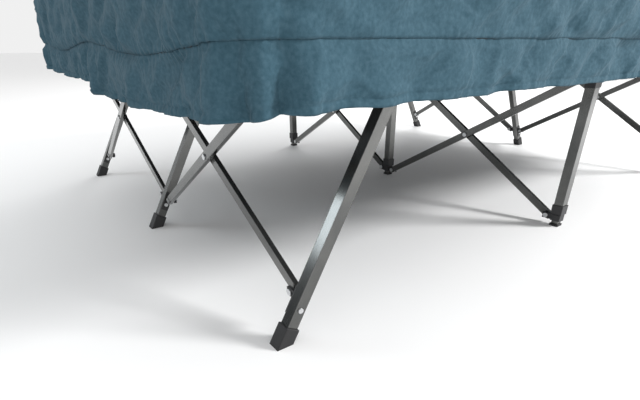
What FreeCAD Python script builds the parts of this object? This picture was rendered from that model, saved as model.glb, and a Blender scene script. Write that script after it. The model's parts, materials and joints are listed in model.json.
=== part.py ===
import FreeCAD, Part
import os
import re

# A folding camp bed frame with its sprung cloth deck, air mattress and fitted quilt.
# Millimetres. +X runs along the bed, +Y across it, +Z up. The origin is on the floor
# under the middle of the bed.
#
# Three columns (near, centre, far) stand on three rows (foot, mid, head). The columns
# are joined across the bed by crossed arms, so they close up like a lattice gate while
# the tops rise on their telescoping posts.

VALUES = {
    # the grid of feet
    "foot_row": 928.0,          # foot and head rows, from the middle
    "column_gap": 690.0,        # near and far columns, from the middle
    # crossed arms
    "pin_offset": 30.0,         # arm pins, from their column
    "rise": 360.0,              # lower pin to upper pin
    "slope": 29.7449,           # of every arm, degrees
    "arm_reach": 725.603,       # pin to pin
    "arm_thick": 10.0,
    "arm_high": 20.0,
    "arm_past": 10.0,           # tube beyond each pin
    "arm_wall": 1.5,
    "arm_layer": 6.0,           # middle of an arm, from the plane of the cross
    "mid_pin": 24.0,            # height of the lower pins on the mid row
    "end_pin": 78.0,            # the same on the foot and head rows
    "end_plane": 878.0,         # plane of the end crosses, from the middle
    # leaning legs
    "lean": 29.86,              # from upright, degrees
    "leg_size": 22.0,
    "leg_wall": 1.5,
    "leg_start": 9.0,           # along the leg, from the floor
    "leg_end": 477.0,
    "shoe_along": 28.0,
    "shoe_across": 28.0,
    "shoe_long": 36.0,
    # telescoping posts
    "inner_size": 18.0,
    "outer_size": 25.0,
    "post_wall": 1.5,
    "post_foot": 6.0,
    "inner_top": 418.0,
    "collar_low": 35.0,
    "collar_seat": 50.0,
    "collar_high": 61.0,
    "collar_size": 30.0,
    "slide_gap": 0.3,
    # hubs and brackets
    "hub_across": 26.0,
    "hub_along": 32.0,
    "hub_low": 15.0,
    "hub_high": 18.0,
    "lower_hub_along": 24.0,
    "top_hub_low": 366.0,
    "plate_along": 20.0,        # bracket plates on the sides of the legs
    "plate_thick": 3.0,
    "plate_start": 56.0,        # along the leg, from the floor
    "plate_end": 108.0,
    "bolt_height": 62.0,        # bolt through a leg and its plates
    "bolt_head": 5.0,
    "lug_thick": 7.0,
    "lug_high": 16.0,
    "lug_past": 9.0,
    # rivets and crossing bolts
    "rivet_radius": 3.0,
    "rivet_fit": 0.06,
    "head_radius": 6.5,
    "head_thick": 2.4,
    "arm_side": 11.3,           # under the head, on the arm's side
    "lug_side": 9.8,            # under the head, on the lug's side
    "spacer_radius": 9.0,
    "spacer_half": 0.7,
    # rails and saddles
    "rail_low": 424.0,
    "rail_high": 24.0,
    "rail_wide": 20.0,
    "rail_wall": 1.5,
    "rail_end": 862.0,
    "end_hub": 34.0,
    "saddle_at": 692.0,
    "saddle_along": 50.0,
    "saddle_across": 28.0,
    "saddle_low": 392.0,
    "saddle_top": 431.0,
    # cloth deck, mattress and quilt
    "deck_along": 858.0,
    "deck_across": 704.0,
    "deck_thick": 6.0,
    "bed_along": 984.0,
    "bed_across": 746.0,
    "bed_low": 454.5,
    "bed_top": 600.0,
    "bed_wall": 3.0,
    "quilt_along": 994.0,
    "quilt_across": 756.0,
    "quilt_thick": 8.0,
    "quilt_high": 614.0,
    "quilt_top_thick": 12.0,
    "seam_height": 472.0,
    "hem_height": 380.0,
}

doc = FreeCAD.newDocument("camp_bed")
sheet = doc.addObject("Spreadsheet::Sheet", "dims")
for row, (alias, value) in enumerate(VALUES.items(), start=1):
    sheet.set("A%d" % row, alias)
    sheet.set("B%d" % row, str(value))
    sheet.setAlias("B%d" % row, alias)
doc.recompute()

NODES = []
serial = {}


def bound(text):
    """The expression with each alias pointed at the sheet."""
    return re.sub(r"[a-z]\w+", lambda m: "dims." + m.group(0)
                  if m.group(0) in VALUES else m.group(0), text)


def unique(stem):
    serial[stem] = serial.get(stem, 0) + 1
    return "%s_%d" % (stem, serial[stem])


def place(item, at, axis=None, angle=None):
    """Put an item at three expressions, turned about an axis by an expression in degrees."""
    if axis is not None:
        item.Placement = FreeCAD.Placement(FreeCAD.Vector(0, 0, 0), FreeCAD.Rotation(axis, 1))
        item.setExpression("Placement.Rotation.Angle", "(%s) * 1 deg" % bound(angle))
    for letter, text in zip("xyz", at):
        item.setExpression("Placement.Base." + letter, "(%s) * 1 mm" % bound(text))


def box(size, at, axis=None, angle=None):
    item = doc.addObject("Part::Box", unique("block"))
    for side, text in zip(("Length", "Width", "Height"), size):
        item.setExpression(side, "(%s) * 1 mm" % bound(text))
    place(item, at, axis, angle)
    return item


def slab(size, middle, low):
    """An upright block given by its sizes, the middle of its plan and its underside."""
    at = ["(%s) - (%s) / 2" % (centre, side) for centre, side in zip(middle, size)]
    return box(size, at + [low])


def rod(radius, start, end, across, z, along_y=False):
    """A round rod from start to end along X, or along Y; across is its place on the other."""
    item = doc.addObject("Part::Cylinder", unique("rod"))
    item.setExpression("Radius", "(%s) * 1 mm" % bound(radius))
    item.setExpression("Height", "((%s) - (%s)) * 1 mm" % (bound(end), bound(start)))
    if along_y:
        place(item, (across, start, z), FreeCAD.Vector(1, 0, 0), "-90")
    else:
        place(item, (start, across, z), FreeCAD.Vector(0, 1, 0), "90")
    return item


def join(items, kind="Part::MultiFuse"):
    if len(items) == 1:
        return items[0]
    item = doc.addObject(kind, unique("group"))
    if kind == "Part::Compound":
        item.Links = items
    else:
        item.Shapes = items
    return item


def cut(base, tools):
    item = doc.addObject("Part::Cut", unique("cut"))
    item.Base = base
    item.Tool = join(tools, "Part::Compound")
    return item


def node(name, item):
    item.Label = name
    NODES.append(item)


ALONG_X = FreeCAD.Vector(1, 0, 0)
ALONG_Y = FreeCAD.Vector(0, 1, 0)
COLUMNS = {"near": "-column_gap", "centre": "0", "far": "column_gap"}
ENDS = {"foot": -1, "head": 1}
# each column's pins: side of the column, and the side of the cross its lower and
# upper arms are on (rising arms are on +X, falling arms on -X)
LOWER = {"near": [(1, 1)], "centre": [(-1, -1), (1, 1)], "far": [(-1, -1)]}
UPPER = {"near": [(1, -1)], "centre": [(-1, 1), (1, -1)], "far": [(-1, 1)]}


def leaning(along, across, start, end, sign, y):
    """A block on the line of a leaning leg; sign is the end of the bed it stands at."""
    turn = "(%d) * lean" % -sign
    sine, cosine = "sin(%s * 1 deg)" % turn, "cos(%s * 1 deg)" % turn
    at = ("(%d) * foot_row - (%s) / 2 * %s + (%s) * %s" % (sign, along, cosine, start, sine),
          "(%s) - (%s) / 2" % (y, across),
          "(%s) / 2 * %s + (%s) * %s" % (along, sine, start, cosine))
    return box((along, across, "(%s) - (%s)" % (end, start)), at, ALONG_Y, turn)


def lug(plane, y, z, side, layer):
    """A flat ear from a column out to a pin, in the layer the arm leaves free."""
    reach = "(pin_offset + lug_past - hub_across / 2 + 1)"
    middle = ("(%s) - (%d) * arm_layer" % (plane, layer),
              "(%s) + (%d) * (hub_across / 2 - 1 + %s / 2)" % (y, side, reach))
    return slab(("lug_thick", reach, "lug_high"), middle, "(%s) - lug_high / 2" % z)


def pin_hole(plane, y, z, side):
    return rod("rivet_radius + rivet_fit", "(%s) - 20" % plane, "(%s) + 20" % plane,
               "(%s) + (%d) * pin_offset" % (y, side), z)


def rivet(plane, y, z, side, layer):
    """A rivet through an arm and its lug, with a head outside each."""
    across = "(%s) + (%d) * pin_offset" % (y, side)
    far_arm, far_lug = "(%s) + arm_side" % plane, "(%s) - lug_side" % plane
    if layer < 0:
        far_arm, far_lug = "(%s) + lug_side" % plane, "(%s) - arm_side" % plane
    return [rod("rivet_radius", far_lug, far_arm, across, z),
            rod("head_radius", far_arm, "%s + head_thick" % far_arm, across, z),
            rod("head_radius", "%s - head_thick" % far_lug, far_lug, across, z)]


# legs, posts and everything else that stands on the floor
for column, y in COLUMNS.items():
    shoes, shoe_tools, brackets, bracket_tools = [], [], [], []
    saddles, saddle_tools, rivets = [], [], []
    for end, sign in ENDS.items():
        plane = "(%d) * end_plane" % sign
        solid = leaning("leg_size", "leg_size", "leg_start", "leg_end", sign, y)
        bore = leaning("leg_size - 2 * leg_wall", "leg_size - 2 * leg_wall",
                       "leg_start - 1", "leg_end + 1", sign, y)
        bolt_at = "(%d) * (foot_row - bolt_height * tan(lean * 1 deg))" % sign
        hole = rod("rivet_radius + rivet_fit", "(%s) - 30" % y, "(%s) + 30" % y,
                   bolt_at, "bolt_height", along_y=True)
        node("%s_%s_leg" % (column, end), cut(solid, [bore, hole]))

        shoe = leaning("shoe_along", "shoe_across", "-20", "shoe_long", sign, y)
        below = slab(("200", "80", "60"), ("(%d) * foot_row" % sign, y), "-60")
        shoes.append(cut(shoe, [below]))
        shoe_tools.append(solid)

        faces = {-1: "leg_size / 2", 1: "leg_size / 2"}
        for side, layer in LOWER[column]:
            plate = leaning("plate_along", "plate_thick", "plate_start", "plate_end", sign,
                            "(%s) + (%d) * (leg_size + plate_thick) / 2" % (y, side))
            brackets.append(join([plate, lug(plane, y, "end_pin", side, layer)]))
            bracket_tools.append(pin_hole(plane, y, "end_pin", side))
            rivets += rivet(plane, y, "end_pin", side, layer)
            faces[side] = "(leg_size / 2 + plate_thick)"
        bracket_tools.append(hole)
        low, high = "(%s) - %s" % (y, faces[-1]), "(%s) + %s" % (y, faces[1])
        rivets += [rod("rivet_radius", low, high, bolt_at, "bolt_height", along_y=True),
                   rod("bolt_head", "%s - head_thick" % low, low, bolt_at, "bolt_height", True),
                   rod("bolt_head", high, "%s + head_thick" % high, bolt_at, "bolt_height", True)]

        seat = ("(%d) * saddle_at" % sign, y)
        saddles.append(slab(("saddle_along", "saddle_across", "saddle_top - saddle_low"),
                            seat, "saddle_low"))
        saddle_tools += [solid, slab(("saddle_along + 4", "rail_wide + 2 * slide_gap", "30"),
                                     seat, "rail_low")]
    shoes.append(slab(("lower_hub_along", "lower_hub_along", "post_foot"), ("0", y), "0"))
    node("%s_shoes" % column, cut(join(shoes, "Part::Compound"), shoe_tools))
    node("%s_brackets" % column, cut(join(brackets, "Part::Compound"), bracket_tools))
    node("%s_saddles" % column, cut(join(saddles, "Part::Compound"), saddle_tools))

    inner = slab(("inner_size", "inner_size", "inner_top - post_foot"), ("0", y), "post_foot")
    hollow = slab(("inner_size - 2 * post_wall", "inner_size - 2 * post_wall", "inner_top"),
                  ("0", y), "post_foot - 1")
    node("%s_inner_post" % column, cut(inner, [hollow]))
    parts = [slab(("lower_hub_along", "hub_across", "hub_high"), ("0", y), "hub_low")]
    tools = [inner]
    for side, layer in LOWER[column]:
        parts.append(lug("0", y, "mid_pin", side, layer))
        tools.append(pin_hole("0", y, "mid_pin", side))
        rivets += rivet("0", y, "mid_pin", side, layer)
    node("%s_lower_hub" % column, cut(join(parts), tools))
    node("%s_lower_rivets" % column, join(rivets))

# posts, hubs and rails that rise as the bed closes
for column, y in COLUMNS.items():
    outer = slab(("outer_size", "outer_size", "top_hub_low - collar_seat"),
                 ("0", y), "collar_seat")
    hollow = slab(("outer_size - 2 * post_wall", "outer_size - 2 * post_wall", "top_hub_low"),
                  ("0", y), "collar_seat - 1")
    node("%s_outer_post" % column, cut(outer, [hollow]))
    channel = ("inner_size + 2 * slide_gap", "inner_size + 2 * slide_gap")
    collar = slab(("collar_size", "collar_size", "collar_high - collar_low"),
                  ("0", y), "collar_low")
    node("%s_collar" % column, cut(collar, [
        slab(channel + ("collar_high",), ("0", y), "collar_low - 1"),
        slab(("outer_size", "outer_size", "20"), ("0", y), "collar_seat")]))

    upper = "mid_pin + rise"
    parts = [slab(("hub_along", "hub_across", "rail_low - top_hub_low"), ("0", y), "top_hub_low")]
    tools = [slab(channel + ("inner_top + 2 - top_hub_low + 1",), ("0", y), "top_hub_low - 1")]
    rivets = []
    for side, layer in UPPER[column]:
        parts.append(lug("0", y, upper, side, layer))
        tools.append(pin_hole("0", y, upper, side))
        rivets += rivet("0", y, upper, side, layer)
    hubs = [join(parts)]
    upper = "end_pin + rise"
    for end, sign in ENDS.items():
        plane = "(%d) * end_plane" % sign
        parts = [slab(("end_hub", "hub_across", "rail_high"),
                      ("(%d) * (rail_end + end_hub / 2)" % sign, y), "rail_low")]
        for side, layer in UPPER[column]:
            parts.append(lug(plane, y, upper, side, layer))
            tools.append(pin_hole(plane, y, upper, side))
            rivets += rivet(plane, y, upper, side, layer)
        hubs.append(join(parts))
    node("%s_upper_hubs" % column, cut(join(hubs, "Part::Compound"), tools))
    node("%s_upper_rivets" % column, join(rivets))
    rail = slab(("2 * rail_end", "rail_wide", "rail_high"), ("0", y), "rail_low")
    inside = slab(("2 * rail_end + 2", "rail_wide - 2 * rail_wall", "rail_high - 2 * rail_wall"),
                  ("0", y), "rail_low + rail_wall")
    node("%s_rail" % column, cut(rail, [inside]))


def arm(plane, low, left, rising):
    """A flat tube between two pins, with a hole at each end and at the crossing."""
    layer = 1 if rising else -1
    turn = "(%d) * slope" % layer
    sine, cosine = "sin(%s * 1 deg)" % turn, "cos(%s * 1 deg)" % turn
    start = low if rising else "(%s) + rise" % low
    middle = "(%s) + (%d) * arm_layer" % (plane, layer)

    def tube(thick, high, past):
        at = ("(%s) - (%s) / 2" % (middle, thick),
              "(%s) - (%s) * %s + (%s) / 2 * %s" % (left, past, cosine, high, sine),
              "(%s) - (%s) * %s - (%s) / 2 * %s" % (start, past, sine, high, cosine))
        return box((thick, "arm_reach + 2 * (%s)" % past, high), at, ALONG_X, turn)

    tools = [tube("arm_thick - 2 * arm_wall", "arm_high - 2 * arm_wall", "arm_past + 1")]
    for share in ("0", "0.5", "1"):
        across = "(%s) + %s * arm_reach * %s" % (left, share, cosine)
        height = "(%s) + %s * arm_reach * %s" % (start, share, sine)
        tools.append(rod("rivet_radius + rivet_fit + 0.02", "(%s) - 8" % middle,
                         "(%s) + 8" % middle, across, height))
    return cut(tube("arm_thick", "arm_high", "arm_past"), tools)


# crossed arms, and the bolt and spacer at each crossing
SIDES = {"near": "-column_gap + pin_offset", "far": "pin_offset"}
for side, left in SIDES.items():
    end_bolts = []
    for row, sign in (("foot", -1), ("mid", 0), ("head", 1)):
        plane = "(%d) * end_plane" % sign
        low = "end_pin" if sign else "mid_pin"
        node("%s_%s_rising_arm" % (side, row), arm(plane, low, left, True))
        node("%s_%s_falling_arm" % (side, row), arm(plane, low, left, False))
        across = "(%s) + arm_reach / 2 * cos(slope * 1 deg)" % left
        height = "(%s) + rise / 2" % low
        bolt = [rod("rivet_radius", "(%s) - arm_side" % plane, "(%s) + arm_side" % plane,
                    across, height),
                rod("head_radius", "(%s) + arm_side" % plane,
                    "(%s) + arm_side + head_thick" % plane, across, height),
                rod("head_radius", "(%s) - arm_side - head_thick" % plane,
                    "(%s) - arm_side" % plane, across, height),
                rod("spacer_radius", "(%s) - spacer_half" % plane,
                    "(%s) + spacer_half" % plane, across, height)]
        if sign:
            end_bolts += bolt
        else:
            node("%s_mid_bolt" % side, join(bolt))
    node("%s_end_bolts" % side, join(end_bolts))

# cloth deck laced over the three rails
node("deck", slab(("2 * deck_along", "2 * deck_across", "deck_thick"), ("0", "0"),
                  "rail_low + rail_high"))

# air mattress: a closed skin round one chamber
skin = slab(("2 * bed_along", "2 * bed_across", "bed_top - bed_low"), ("0", "0"), "bed_low")
chamber = slab(("2 * (bed_along - bed_wall)", "2 * (bed_across - bed_wall)",
                "bed_top - bed_low - 2 * bed_wall"), ("0", "0"), "bed_low + bed_wall")
node("mattress", cut(skin, [chamber]))

# quilt: a top, a side border down to the seam, and a gathered skirt below it
node("quilt_top", slab(("2 * quilt_along", "2 * quilt_across", "quilt_top_thick"), ("0", "0"),
                       "quilt_high - quilt_top_thick"))


def panels(low, high):
    """Four upright panels round the edge of the bed."""
    tall = "(%s) - (%s)" % (high, low)
    parts = []
    for sign in (-1, 1):
        parts.append(slab(("2 * quilt_along", "quilt_thick", tall),
                          ("0", "(%d) * (quilt_across - quilt_thick / 2)" % sign), low))
        parts.append(slab(("quilt_thick", "2 * (quilt_across - quilt_thick)", tall),
                          ("(%d) * (quilt_along - quilt_thick / 2)" % sign, "0"), low))
    return join(parts, "Part::Compound")


node("quilt_border", panels("seam_height", "quilt_high - quilt_top_thick"))
node("quilt_skirt", panels("hem_height", "seam_height"))

doc.recompute()

for item in doc.Objects:
    if "Invalid" in item.State or "Error" in item.State:
        raise RuntimeError("%s is in state %s" % (item.Name, item.State))
    if hasattr(item, "Shape") and (item.Shape.isNull() or not item.Shape.isValid()):
        raise RuntimeError("%s has a bad shape" % item.Name)

os.makedirs("parts", exist_ok=True)
for item in NODES:
    item.Shape.exportStep("parts/%s.step" % item.Label)
    print(item.Label, len(item.Shape.Solids), round(item.Shape.Volume / 1000, 1))
print(len(NODES), "nodes")
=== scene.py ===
import json
import math

import bpy
import numpy as np
from mathutils import Matrix, Vector, noise


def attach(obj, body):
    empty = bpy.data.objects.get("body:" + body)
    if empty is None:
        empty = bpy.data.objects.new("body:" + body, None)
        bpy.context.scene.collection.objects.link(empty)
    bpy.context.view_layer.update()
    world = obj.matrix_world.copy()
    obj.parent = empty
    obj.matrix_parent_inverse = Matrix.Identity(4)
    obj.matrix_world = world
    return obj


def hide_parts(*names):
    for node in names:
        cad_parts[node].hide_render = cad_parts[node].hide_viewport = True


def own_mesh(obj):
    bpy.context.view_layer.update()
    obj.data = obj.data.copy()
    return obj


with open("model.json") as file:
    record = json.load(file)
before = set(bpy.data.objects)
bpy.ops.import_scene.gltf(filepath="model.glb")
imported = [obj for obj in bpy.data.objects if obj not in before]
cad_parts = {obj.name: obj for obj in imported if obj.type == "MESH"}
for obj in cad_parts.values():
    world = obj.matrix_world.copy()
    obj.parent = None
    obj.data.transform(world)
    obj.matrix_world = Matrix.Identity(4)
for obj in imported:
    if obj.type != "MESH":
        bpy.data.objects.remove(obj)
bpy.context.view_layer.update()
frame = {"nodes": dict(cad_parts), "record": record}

# ---------------------------------------------------------------- materials


def material(name, colour, rough, metallic=0.0, **sockets):
    """A new material. An underscore in a socket's name stands for a space."""
    mat = bpy.data.materials.new(name)
    mat.use_nodes = True
    shader = mat.node_tree.nodes["Principled BSDF"]
    shader.inputs["Base Color"].default_value = (*colour, 1)
    shader.inputs["Roughness"].default_value = rough
    shader.inputs["Metallic"].default_value = metallic
    for key, value in sockets.items():
        shader.inputs[key.replace("_", " ")].default_value = value
    return mat, mat.node_tree, shader


def grain(tree, scale, detail=3.0, stretch=(1, 1, 1)):
    """A noise texture in object coordinates."""
    coords = tree.nodes.new("ShaderNodeTexCoord")
    mapping = tree.nodes.new("ShaderNodeMapping")
    mapping.inputs["Scale"].default_value = stretch
    tex = tree.nodes.new("ShaderNodeTexNoise")
    tex.inputs["Scale"].default_value = scale
    tex.inputs["Detail"].default_value = detail
    tree.links.new(coords.outputs["Object"], mapping.inputs["Vector"])
    tree.links.new(mapping.outputs["Vector"], tex.inputs["Vector"])
    return tex.outputs[0]


def ramp(tree, source, stops):
    """Colours by the value of source, from (position, colour) stops."""
    node = tree.nodes.new("ShaderNodeValToRGB")
    elements = node.color_ramp.elements
    while len(elements) < len(stops):
        elements.new(0.5)
    for element, (at, colour) in zip(elements, stops):
        element.position = at
        element.color = (*colour, 1)
    tree.links.new(source, node.inputs["Fac"])
    return node.outputs["Color"]


def bump(tree, shader, layers, edge=0.0):
    """Chained bumps from (height, strength, distance), over a softened edge."""
    last = None
    if edge:
        bevel = tree.nodes.new("ShaderNodeBevel")
        bevel.samples = 6
        bevel.inputs["Radius"].default_value = edge
        last = bevel.outputs["Normal"]
    for height, strength, distance in layers:
        node = tree.nodes.new("ShaderNodeBump")
        node.inputs["Strength"].default_value = strength
        node.inputs["Distance"].default_value = distance
        tree.links.new(height, node.inputs["Height"])
        if last is not None:
            tree.links.new(last, node.inputs["Normal"])
        last = node.outputs["Normal"]
    tree.links.new(last, shader.inputs["Normal"])


def cloth_material(name, low, mid, high, weave, crinkle):
    """Woven cloth in three close shades, with crinkles of two sizes under the weave."""
    mat, tree, shader = material(name, mid, 0.9, Sheen_Weight=0.03, Sheen_Roughness=0.5)
    shader.inputs["Specular IOR Level"].default_value = 0.2
    shades = ramp(tree, grain(tree, 160.0, 8.0), [(0.3, low), (0.52, mid), (0.75, high)])
    tree.links.new(shades, shader.inputs["Base Color"])
    bump(tree, shader, [
        (grain(tree, crinkle, 5.0), 0.22, 0.0020),
        (grain(tree, crinkle * 2.6, 3.0), 0.12, 0.0010),
        (grain(tree, weave, 2.0, (1, 1, 2.5)), 0.35, 0.0004)])
    return mat


def hard_material(name, colour, rough, metallic, scale, strength, depth, edge, **sockets):
    """Metal, plastic or rubber with a fine grain and softened edges."""
    mat, tree, shader = material(name, colour, rough, metallic, **sockets)
    bump(tree, shader, [(grain(tree, scale), strength, depth)], edge)
    return mat, tree, shader


QUILT = cloth_material("quilt_cloth", (0.027, 0.068, 0.093), (0.037, 0.085, 0.115),
                       (0.051, 0.104, 0.136), weave=900.0, crinkle=95.0)
DECK = cloth_material("deck_cloth", (0.03, 0.033, 0.037), (0.04, 0.044, 0.048),
                      (0.055, 0.06, 0.066), weave=700.0, crinkle=40.0)
SKIN = cloth_material("mattress_skin", (0.13, 0.145, 0.17), (0.16, 0.178, 0.2),
                      (0.19, 0.21, 0.235), weave=1200.0, crinkle=30.0)
QUILT_THREAD = material("quilt_thread", (0.012, 0.022, 0.030), 0.9)[0]

STEEL, steel_tree, steel_shader = hard_material(
    "frame_steel", (0.10, 0.10, 0.098), 0.2, 0.85,
    scale=350.0, strength=0.06, depth=0.0002, edge=0.0022,
    Coat_Weight=0.5, Coat_Roughness=0.12)
steel_shades = ramp(steel_tree, grain(steel_tree, 25.0, 6.0),
                    [(0.3, (0.095, 0.097, 0.095)), (0.7, (0.125, 0.125, 0.120))])
steel_tree.links.new(steel_shades, steel_shader.inputs["Base Color"])

BRACKET = hard_material("bracket_steel", (0.03, 0.03, 0.031), 0.38, 0.3,
                        scale=500.0, strength=0.12, depth=0.0002, edge=0.001)[0]
PLASTIC = hard_material("black_plastic", (0.018, 0.018, 0.02), 0.42, 0.0,
                        scale=900.0, strength=0.2, depth=0.0002, edge=0.002)[0]
RUBBER = hard_material("rubber_black", (0.014, 0.014, 0.015), 0.62, 0.0,
                       scale=500.0, strength=0.3, depth=0.0003, edge=0.004)[0]
ZINC = hard_material("zinc_bolt", (0.66, 0.67, 0.68), 0.28, 1.0,
                     scale=600.0, strength=0.15, depth=0.0002, edge=0.0012)[0]

BY_SLOT = {
    "frame_steel": STEEL, "bracket_steel": BRACKET, "black_plastic": PLASTIC,
    "rubber_black": RUBBER, "zinc_bolt": ZINC, "deck_cloth": DECK,
    "mattress_skin": SKIN, "quilt_cloth": QUILT}
for part in frame["record"]["subparts"]:
    mesh = frame["nodes"][part["node"]].data
    mesh.materials.clear()
    mesh.materials.append(BY_SLOT[part["material_slot"]])

# ---------------------------------------------------------------- mesh helpers

NOISE_GAIN = 1.6   # brings the noise out to about -1 and 1
SEED_STEP = 7.3    # how far apart the noise of two seeds is


def grid_object(name, points, closed, mat):
    """A smooth mesh from points[i][j]; i wraps round when closed."""
    rows, cols = points.shape[:2]
    a, b = np.meshgrid(np.arange(rows if closed else rows - 1), np.arange(cols - 1),
                       indexing="ij")
    after = (a + 1) % rows
    faces = np.stack([a * cols + b, after * cols + b,
                      after * cols + b + 1, a * cols + b + 1], -1)
    mesh = bpy.data.meshes.new(name)
    mesh.from_pydata(points.reshape(-1, 3).tolist(), [], faces.reshape(-1, 4).tolist())
    mesh.materials.append(mat)
    mesh.polygons.foreach_set("use_smooth", [True] * len(mesh.polygons))
    obj = bpy.data.objects.new(name, mesh)
    bpy.context.scene.collection.objects.link(obj)
    return obj


def thicken(obj, thick):
    """Give a sheet its thickness, behind the side it faces, and keep it in the mesh."""
    mod = obj.modifiers.new("thick", "SOLIDIFY")
    mod.thickness = thick
    mod.offset = -1.0
    bpy.context.view_layer.update()
    graph = bpy.context.evaluated_depsgraph_get()
    mesh = bpy.data.meshes.new_from_object(obj.evaluated_get(graph))
    obj.modifiers.clear()
    obj.data = mesh


def smoothstep(low, high, x):
    t = np.clip((x - low) / (high - low), 0, 1)
    return t * t * (3 - 2 * t)


def field(u, v, size, seed):
    """Smooth noise of about -1 to 1 over two coordinates in metres."""
    u, v = np.broadcast_arrays(u, v)
    flat = [noise.noise(Vector((x / size[0], y / size[1], seed * SEED_STEP)))
            for x, y in zip(np.ravel(u), np.ravel(v))]
    return np.array(flat).reshape(np.shape(u)) * NOISE_GAIN


# ---------------------------------------------------------------- the edge of the quilt

HALF_X, HALF_Y, CORNER = 0.990, 0.752, 0.075
SEAM, TOP_EDGE = 0.473, 0.598
END_SAG = 0.021    # how far the seam sags on each half of an end
STEP = 0.0045


def outline(step):
    """Points, outward normals and lengths round the bed, from the middle of the foot end."""
    flat_x, flat_y = HALF_X - CORNER, HALF_Y - CORNER
    sides = [((-HALF_X, 0), (-HALF_X, -flat_y), (-1, 0)),
             ((-flat_x, -HALF_Y), (flat_x, -HALF_Y), (0, -1)),
             ((HALF_X, -flat_y), (HALF_X, flat_y), (1, 0)),
             ((flat_x, HALF_Y), (-flat_x, HALF_Y), (0, 1)),
             ((-HALF_X, flat_y), (-HALF_X, 0), (-1, 0))]
    corners = [(-flat_x, -flat_y, 180), (flat_x, -flat_y, 270),
               (flat_x, flat_y, 0), (-flat_x, flat_y, 90), None]
    points, normals = [], []
    for (start, end, normal), corner in zip(sides, corners):
        start, end = np.array(start), np.array(end)
        count = max(2, round(np.linalg.norm(end - start) / step))
        for t in range(count):
            points.append(start + (end - start) * t / count)
            normals.append(normal)
        if corner:
            x, y, angle = corner
            count = max(4, round(CORNER * math.pi / 2 / step))
            for t in range(count):
                turn = math.radians(angle + 90 * t / count)
                normals.append((math.cos(turn), math.sin(turn)))
                points.append(np.array((x, y)) + CORNER * np.array(normals[-1]))
    points, normals = np.array(points), np.array(normals, float)
    gaps = np.linalg.norm(np.diff(points, axis=0), axis=1)
    return points, normals, np.concatenate([[0], np.cumsum(gaps)])


PATH, NORMAL, ALONG = outline(STEP)
X, Y = PATH[:, 0], PATH[:, 1]

# where the edge is: 1 at the place named, fading to 0 away from it
AT_END = smoothstep(HALF_X - 0.06, HALF_X, np.abs(X))
AT_CORNER = np.minimum(smoothstep(HALF_X - 0.16, HALF_X - 0.03, np.abs(X)),
                       smoothstep(HALF_Y - 0.16, HALF_Y - 0.03, np.abs(Y)))
FOOT_END = AT_END * (X < 0)
MIDDLE = AT_END * np.exp(-(Y / 0.13) ** 2)


def seam_height():
    """The seam sags between the corners and the middle of each end."""
    share = np.abs(np.sin(np.pi * np.clip(np.abs(Y) / HALF_Y, 0, 1)))
    return SEAM - AT_END * END_SAG * share ** 1.5


def hem_height():
    """The hem is near level on the long sides, and lowest on the near half of each end."""
    near = np.interp(-Y, [0.0, 0.12, 0.38, 0.72], [0.362, 0.360, 0.364, 0.380])
    far = np.interp(Y, [0.0, 0.35, 0.75], [0.388, 0.380, 0.394])
    end = np.where(Y < 0, near, far)
    side = 0.389 + 0.002 * field(X, Y, (0.25, 0.25), 3)
    return AT_END * end + (1 - AT_END) * side


SEAM_Z = seam_height()
HEM_Z = hem_height()
TOP_Z = TOP_EDGE + 0.004 * field(ALONG, 0, (0.2, 1), 21)


def gathers(wave, seed, sharp=1.4):
    """Uneven upright puckers round the bed, 0 to 1, about wave metres apart."""
    drift = field(ALONG, 0, (wave * 5, 1), seed) * wave * 0.9
    phase = (ALONG + drift) * math.pi / wave
    return np.abs(np.sin(phase)) ** sharp


FINE = gathers(0.017, 1) * (0.55 + 0.45 * field(ALONG, 0, (0.05, 1), 2))
BROAD = gathers(0.062, 4) * (0.6 + 0.4 * field(ALONG, 0, (0.11, 1), 5))
PUCKER = FINE * (0.5 + 1.2 * AT_END)   # the ends are gathered more than the sides


def corner_folds():
    """A few heavy upright folds where the cloth turns each corner."""
    from_corner = np.full(len(X), 9.0)
    for sign_x in (-1, 1):
        for sign_y in (-1, 1):
            nearest = np.argmin(np.hypot(X - sign_x * HALF_X, Y - sign_y * HALF_Y))
            gap = ALONG - ALONG[nearest]
            from_corner = np.where(np.abs(gap) < np.abs(from_corner), gap, from_corner)
    # how deep each fold is, how far past the corner it is, and how wide
    folds = ((0.009, 0.070, 0.017), (-0.017, 0.036, 0.014), (0.007, 0.010, 0.010),
             (-0.017, -0.018, 0.013), (0.009, -0.050, 0.016), (-0.008, -0.088, 0.015),
             (0.004, -0.125, 0.020))
    return sum(deep * np.exp(-((from_corner - at) / wide) ** 2) for deep, at, wide in folds)


CORNER_FOLDS = corner_folds()

# ---------------------------------------------------------------- bands of cloth

SEWN_REACH = 0.016              # how far the puckers run from a sewn edge
LOOSE_FROM, LOOSE_TO = -0.004, 0.022   # the loose wrinkles grow between these, from the edge
# how far each kind of wrinkle stands out
DRIFT, SLANT, CRUMPLE, CREASE = 0.0035, 0.0016, 0.0005, 0.0035
RISING, FALLING, PINCHED = 0.0100, 0.0060, 0.0065


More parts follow.
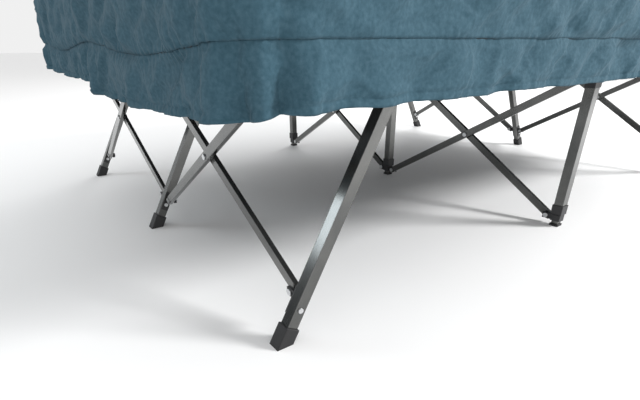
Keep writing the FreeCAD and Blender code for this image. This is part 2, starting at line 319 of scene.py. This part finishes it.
def cloth_band(top, bottom, rows, bulge, pucker_top, pucker_bottom, fall, corner, free,
               seed):
    """Heights and outward offsets of a strip of cloth round the bed, wrinkled and gathered.
    corner is the share of the corner folds at its top and bottom. A free bottom edge isn't
    sewn."""
    v = np.linspace(0, 1, rows)[None, :]
    u = np.repeat(ALONG[:, None], rows, 1)
    height = top[:, None] + (bottom - top)[:, None] * v
    down = top[:, None] - height
    up = height - bottom[:, None]

    out = bulge * np.sin(np.pi * v) ** 0.7 * np.ones_like(u)
    out += PUCKER[:, None] * (pucker_top * np.exp(-down / SEWN_REACH)
                              + pucker_bottom * np.exp(-up / SEWN_REACH))

    drift = field(u + down * 0.6, down, (0.13, 0.13), seed)
    slant = field(u * 0.75 + down * 1.3, down - u * 0.2, (0.085, 0.10), seed + 1)
    crumple = field(u, down, (0.026, 0.035), seed + 2)
    crease = field(u + down * 0.9, down * 1.6 - u * 0.3, (0.10, 0.09), seed + 3)
    rising = field(u * 0.77 - down * 0.64, u * 0.64 + down * 0.77, (0.15, 0.045), seed + 4)
    falling = field(u * 0.6 + down * 0.8, u * 0.8 - down * 0.6, (0.13, 0.05), seed + 5)
    pinched = (1 - np.abs(rising)) ** 5 * (0.5 + 0.5 * drift)
    loose = smoothstep(LOOSE_FROM, LOOSE_TO, down)
    if not free:
        loose = loose * smoothstep(LOOSE_FROM, LOOSE_TO, up)
    out += loose * (DRIFT * drift + SLANT * slant + CRUMPLE * crumple
                    + CREASE * (1 - np.abs(crease)) ** 6
                    + RISING * rising + FALLING * falling + PINCHED * pinched)

    out += CORNER_FOLDS[:, None] * (corner[0] + (corner[1] - corner[0]) * v)
    # the folds that open out downward are deepest at the corners and mid-end, where it is slack
    deep = 0.10 + 0.9 * AT_CORNER + 0.22 * AT_END + 1.1 * MIDDLE
    out += fall * (deep * BROAD)[:, None] * smoothstep(0, 1, v)
    return height, out


def band_points(height, out):
    """Points at these heights, this far out from the bed's edge."""
    points = np.empty(height.shape + (3,))
    points[..., 0] = X[:, None] + NORMAL[:, 0, None] * out
    points[..., 1] = Y[:, None] + NORMAL[:, 1, None] * out
    points[..., 2] = height
    return points


def cord(name, sides, radius, height, out, mat):
    """A round cord along the bed's edge, with its middle at height and out."""
    ring = []
    for k in range(sides):
        turn = 2 * math.pi * k / sides
        ring.append(band_points((height + radius * math.sin(turn))[:, None],
                                (out + radius * math.cos(turn))[:, None])[:, 0])
    return grid_object(name, np.stack(ring + ring[:1], 1), True, mat)


# the skirt hangs from the seam to a stitched hem
rows = 28
height, out = cloth_band(SEAM_Z, HEM_Z, rows, bulge=0.002, pucker_top=0.0045,
                         pucker_bottom=0.0045, fall=0.010, corner=(0.35, 1.0), free=True,
                         seed=10)
STITCH_UP, STITCH_WIDE, STITCH_DEEP = 0.012, 0.0022, 0.0024
out -= STITCH_DEEP * np.exp(-(((height - HEM_Z[:, None]) - STITCH_UP) / STITCH_WIDE) ** 2)
v = np.linspace(0, 1, rows)[None, :]
height = height + (0.0018 * field(ALONG, 0.3, (0.07, 1), 17)
                   + 0.0006 * (FINE - 0.5))[:, None] * v ** 2
# the near width laps over the far width at the middle of the foot end
lap = 0.010 * FOOT_END * np.where(Y < 0, np.exp(-np.abs(Y) / 0.05), 0)
tuck = 0.007 * FOOT_END * np.exp(-((Y - 0.018) / 0.02) ** 2)
out += lap[:, None] * smoothstep(0, 0.5, v)
out -= tuck[:, None] * smoothstep(0, 0.6, v)
skirt = grid_object("quilt_skirt_cloth", band_points(height, out), True, QUILT)
thicken(skirt, 0.0025)

# the border above it is padded and pulls in at the seam and at the top edge
height, out = cloth_band(TOP_Z, SEAM_Z, 34, bulge=0.009,
                         pucker_top=0.003, pucker_bottom=0.0050, fall=0.003,
                         corner=(0.1, 0.35), free=False, seed=30)
border = grid_object("quilt_border_cloth", band_points(height, out), True, QUILT)
thicken(border, 0.004)

# the seam: a cord of thread and gathered edge between the two
seam = cord("quilt_seam", 8, 0.0022, SEAM_Z + 0.0012 * (FINE - 0.5),
            0.0010 + 0.0030 * PUCKER + 0.35 * CORNER_FOLDS, QUILT_THREAD)

# ---------------------------------------------------------------- the quilted top

TOP_X, TOP_Y = HALF_X + 0.001, HALF_Y + 0.001
CELL_X, CELL_Y = 0.165, 0.168   # the quilting's boxes
CROWN, PUFF, EDGE_DIP = 0.014, 0.013, 0.004


def rounded(grid_x, grid_y):
    """Carry a square grid onto the rounded outline of the bed."""
    x, y = grid_x * TOP_X, grid_y * TOP_Y
    over_x, over_y = np.abs(x) - (TOP_X - CORNER), np.abs(y) - (TOP_Y - CORNER)
    both = (over_x > 0) & (over_y > 0)
    reach = np.maximum(over_x, over_y)
    length = np.hypot(over_x, over_y)
    pull = np.where(both & (length > 0), reach / np.maximum(length, 1e-9), 1.0)
    x = np.where(both, np.sign(x) * (TOP_X - CORNER + over_x * pull), x)
    y = np.where(both, np.sign(y) * (TOP_Y - CORNER + over_y * pull), y)
    return x, y


count_x, count_y = ((330, 250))
px, py = rounded(*np.meshgrid(np.linspace(-1, 1, count_x), np.linspace(-1, 1, count_y),
                              indexing="ij"))
edge = np.minimum(TOP_X - np.abs(px), TOP_Y - np.abs(py))
crown = smoothstep(0, 0.10, edge)
cell = (np.abs(np.sin(np.pi * (px / CELL_X))) ** 0.45
        * np.abs(np.sin(np.pi * (py / CELL_Y))) ** 0.45)
pz = (TOP_EDGE - 0.003 - EDGE_DIP * np.exp(-edge / 0.012)
      + crown * (CROWN + PUFF * cell
                 + 0.0022 * field(px, py, (0.06, 0.06), 41)
                 + 0.0011 * field(px, py, (0.02, 0.024), 42)))
top = grid_object("quilt_top_cloth", np.stack([px, py, pz], -1), False, QUILT)
thicken(top, 0.006)

# piping round the top edge
piping = cord("quilt_piping", 10, 0.0045, TOP_Z, 0.001 + 0.1 * CORNER_FOLDS, QUILT)

for piece, node in ((skirt, "quilt_skirt"), (border, "quilt_border"), (top, "quilt_top")):
    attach(piece, "quilt")
    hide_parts(node)
for piece in (seam, piping):
    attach(piece, "quilt")

# ---------------------------------------------------------------- air mattress

SQUARENESS = 0.16   # the smaller, the squarer the corners seen from above
SHOULDER = 0.965    # where the flat top and bottom meet the round sides
TUFT_DEEP = 0.007


def pillow(name, half_x, half_y, low, high, mat, tufts):
    """A closed block with full round sides and a top tufted every tufts metres."""
    turn = np.linspace(0, 2 * math.pi, 4 * (150), endpoint=False)
    round_x = np.sign(np.cos(turn)) * np.abs(np.cos(turn)) ** SQUARENESS
    round_y = np.sign(np.sin(turn)) * np.abs(np.sin(turn)) ** SQUARENESS
    mid, half = (low + high) / 2, (high - low) / 2
    inner = np.linspace(SHOULDER, 0.0, 50)[1:]
    profile = [(share, low) for share in inner[::-1]]
    for climb in np.linspace(-math.pi / 2, math.pi / 2, 24):
        swell = (1 - SHOULDER) * abs(math.cos(climb)) ** 0.6
        profile.append((SHOULDER + swell, mid + half * math.sin(climb)))
    profile += [(share, high) for share in inner]
    points = np.empty((len(turn), len(profile), 3))
    for k, (share, z) in enumerate(profile):
        x, y = half_x * share * round_x, half_y * share * round_y
        depth = np.cos(np.pi * x / tufts) ** 8 * smoothstep(0, 0.1, half_x - np.abs(x))
        points[:, k, 0], points[:, k, 1] = x, y
        points[:, k, 2] = z - (TUFT_DEEP * depth if z == high else 0)
    return grid_object(name, points, True, mat)


mattress = pillow("air_mattress", 0.976, 0.738, 0.4555, 0.588, SKIN, tufts=0.14)
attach(mattress, "mattress")
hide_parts("mattress")

# ---------------------------------------------------------------- cloth deck

DECK_X, DECK_Y, DECK_Z = 0.856, 0.702, 0.4522
RAILS_APART = 0.69
DECK_SAG = 0.008

gx, gy = np.meshgrid(np.linspace(-DECK_X, DECK_X, 120), np.linspace(-DECK_Y, DECK_Y, 100),
                     indexing="ij")
between = np.sin(np.pi * np.clip(np.abs(gy) / RAILS_APART, 0, 1)) ** 2
gz = (DECK_Z - DECK_SAG * between * smoothstep(0, 0.15, DECK_X - np.abs(gx))
      + 0.0008 * field(gx, gy, (0.07, 0.2), 61) * between)
deck = grid_object("deck_sheet", np.stack([gx, gy, gz], -1), False, DECK)
thicken(deck, 0.0016)
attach(deck, "centre_top")
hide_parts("deck")
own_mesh(deck)

# ---------------------------------------------------------------- camera and floor

CAMERA_AT = (-1.2289, -1.2229, 0.4686)
yaw, pitch, roll = math.radians(53.59), math.radians(28.57), math.radians(0.30)
forward = Vector((math.cos(yaw) * math.cos(pitch), math.sin(yaw) * math.cos(pitch),
                  -math.sin(pitch)))
right = Vector((math.sin(yaw), -math.cos(yaw), 0))
upward = right.cross(forward)
right, upward = (right * math.cos(roll) - upward * math.sin(roll),
                 right * math.sin(roll) + upward * math.cos(roll))
camera = bpy.data.objects.new("camera", bpy.data.cameras.new("camera"))
camera.matrix_world = Matrix.Translation(CAMERA_AT) @ Matrix(
    (right, upward, -forward)).transposed().to_4x4()
camera.data.sensor_width = 36
camera.data.lens = 24.12
camera.data.shift_x = -0.0046
camera.data.shift_y = 0.1177
camera.data.clip_start = 0.02
bpy.context.scene.collection.objects.link(camera)
bpy.context.scene.camera = camera

FLOOR = 30
floor_mesh = bpy.data.meshes.new("floor")
floor_mesh.from_pydata([(-FLOOR, -FLOOR, 0), (FLOOR, -FLOOR, 0),
                        (FLOOR, FLOOR, 0), (-FLOOR, FLOOR, 0)], [], [(0, 1, 2, 3)])
floor_mesh.materials.append(material("floor", (0.86, 0.86, 0.86), 0.7)[0])
floor = bpy.data.objects.new("floor", floor_mesh)
bpy.context.scene.collection.objects.link(floor)

# ---------------------------------------------------------------- light


def light(name, at, target, size, power, colour=(1, 1, 1)):
    """A round area lamp facing target."""
    lamp = bpy.data.lights.new(name, "AREA")
    lamp.shape = "DISK"
    lamp.size, lamp.energy, lamp.color = size, power, colour
    obj = bpy.data.objects.new(name, lamp)
    obj.location = at
    obj.rotation_euler = (Vector(target) - Vector(at)).to_track_quat("-Z", "Y").to_euler()
    bpy.context.scene.collection.objects.link(obj)


light("key", (2.6, -3.2, 2.6), (-0.1, -0.3, 0.3), 1.1, 230)
light("softbox", (-3.2, 2.2, 1.65), (-0.81, -0.69, 0.2), 1.2, 22, (0.86, 0.95, 1.0))
light("back", (3.5, 3.5, 3.2), (0, 0, 0.2), 3.0, 110)
light("low_fill", (-2.6, -2.8, 0.5), (-0.4, 0, 0.1), 2.0, 12)

# The surroundings are bright but for one dark patch, low beyond the foot end and towards
# the far side. The tubes reflect it.
DARK_TOWARDS = (-0.80, 0.52, -0.30)
world = bpy.data.worlds.new("world")
world.use_nodes = True
tree = world.node_tree
coords = tree.nodes.new("ShaderNodeTexCoord")
facing = tree.nodes.new("ShaderNodeVectorMath")
facing.operation = "DOT_PRODUCT"
facing.inputs[1].default_value = DARK_TOWARDS
tree.links.new(coords.outputs["Generated"], facing.inputs[0])
studio = ramp(tree, facing.outputs["Value"], [
    (0.0, (1, 1, 1)), (0.60, (0.97, 0.97, 0.97)), (0.76, (0.55, 0.58, 0.60)),
    (0.90, (0.05, 0.06, 0.07))])

# The camera sees a plain pale backdrop in every direction, without the patch.
MIX_FACTOR, MIX_A, MIX_B, MIX_RESULT = 0, 6, 7, 2   # the colour sockets of a Mix node
rays = tree.nodes.new("ShaderNodeLightPath")
backdrop = tree.nodes.new("ShaderNodeMix")
backdrop.data_type = "RGBA"
backdrop.inputs[MIX_B].default_value = (0.95, 0.95, 0.95, 1)
tree.links.new(rays.outputs["Is Camera Ray"], backdrop.inputs[MIX_FACTOR])
tree.links.new(studio, backdrop.inputs[MIX_A])
tree.links.new(backdrop.outputs[MIX_RESULT], tree.nodes["Background"].inputs["Color"])
tree.nodes["Background"].inputs["Strength"].default_value = 0.92
bpy.context.scene.world = world
bpy.context.scene.view_settings.view_transform = "Standard"
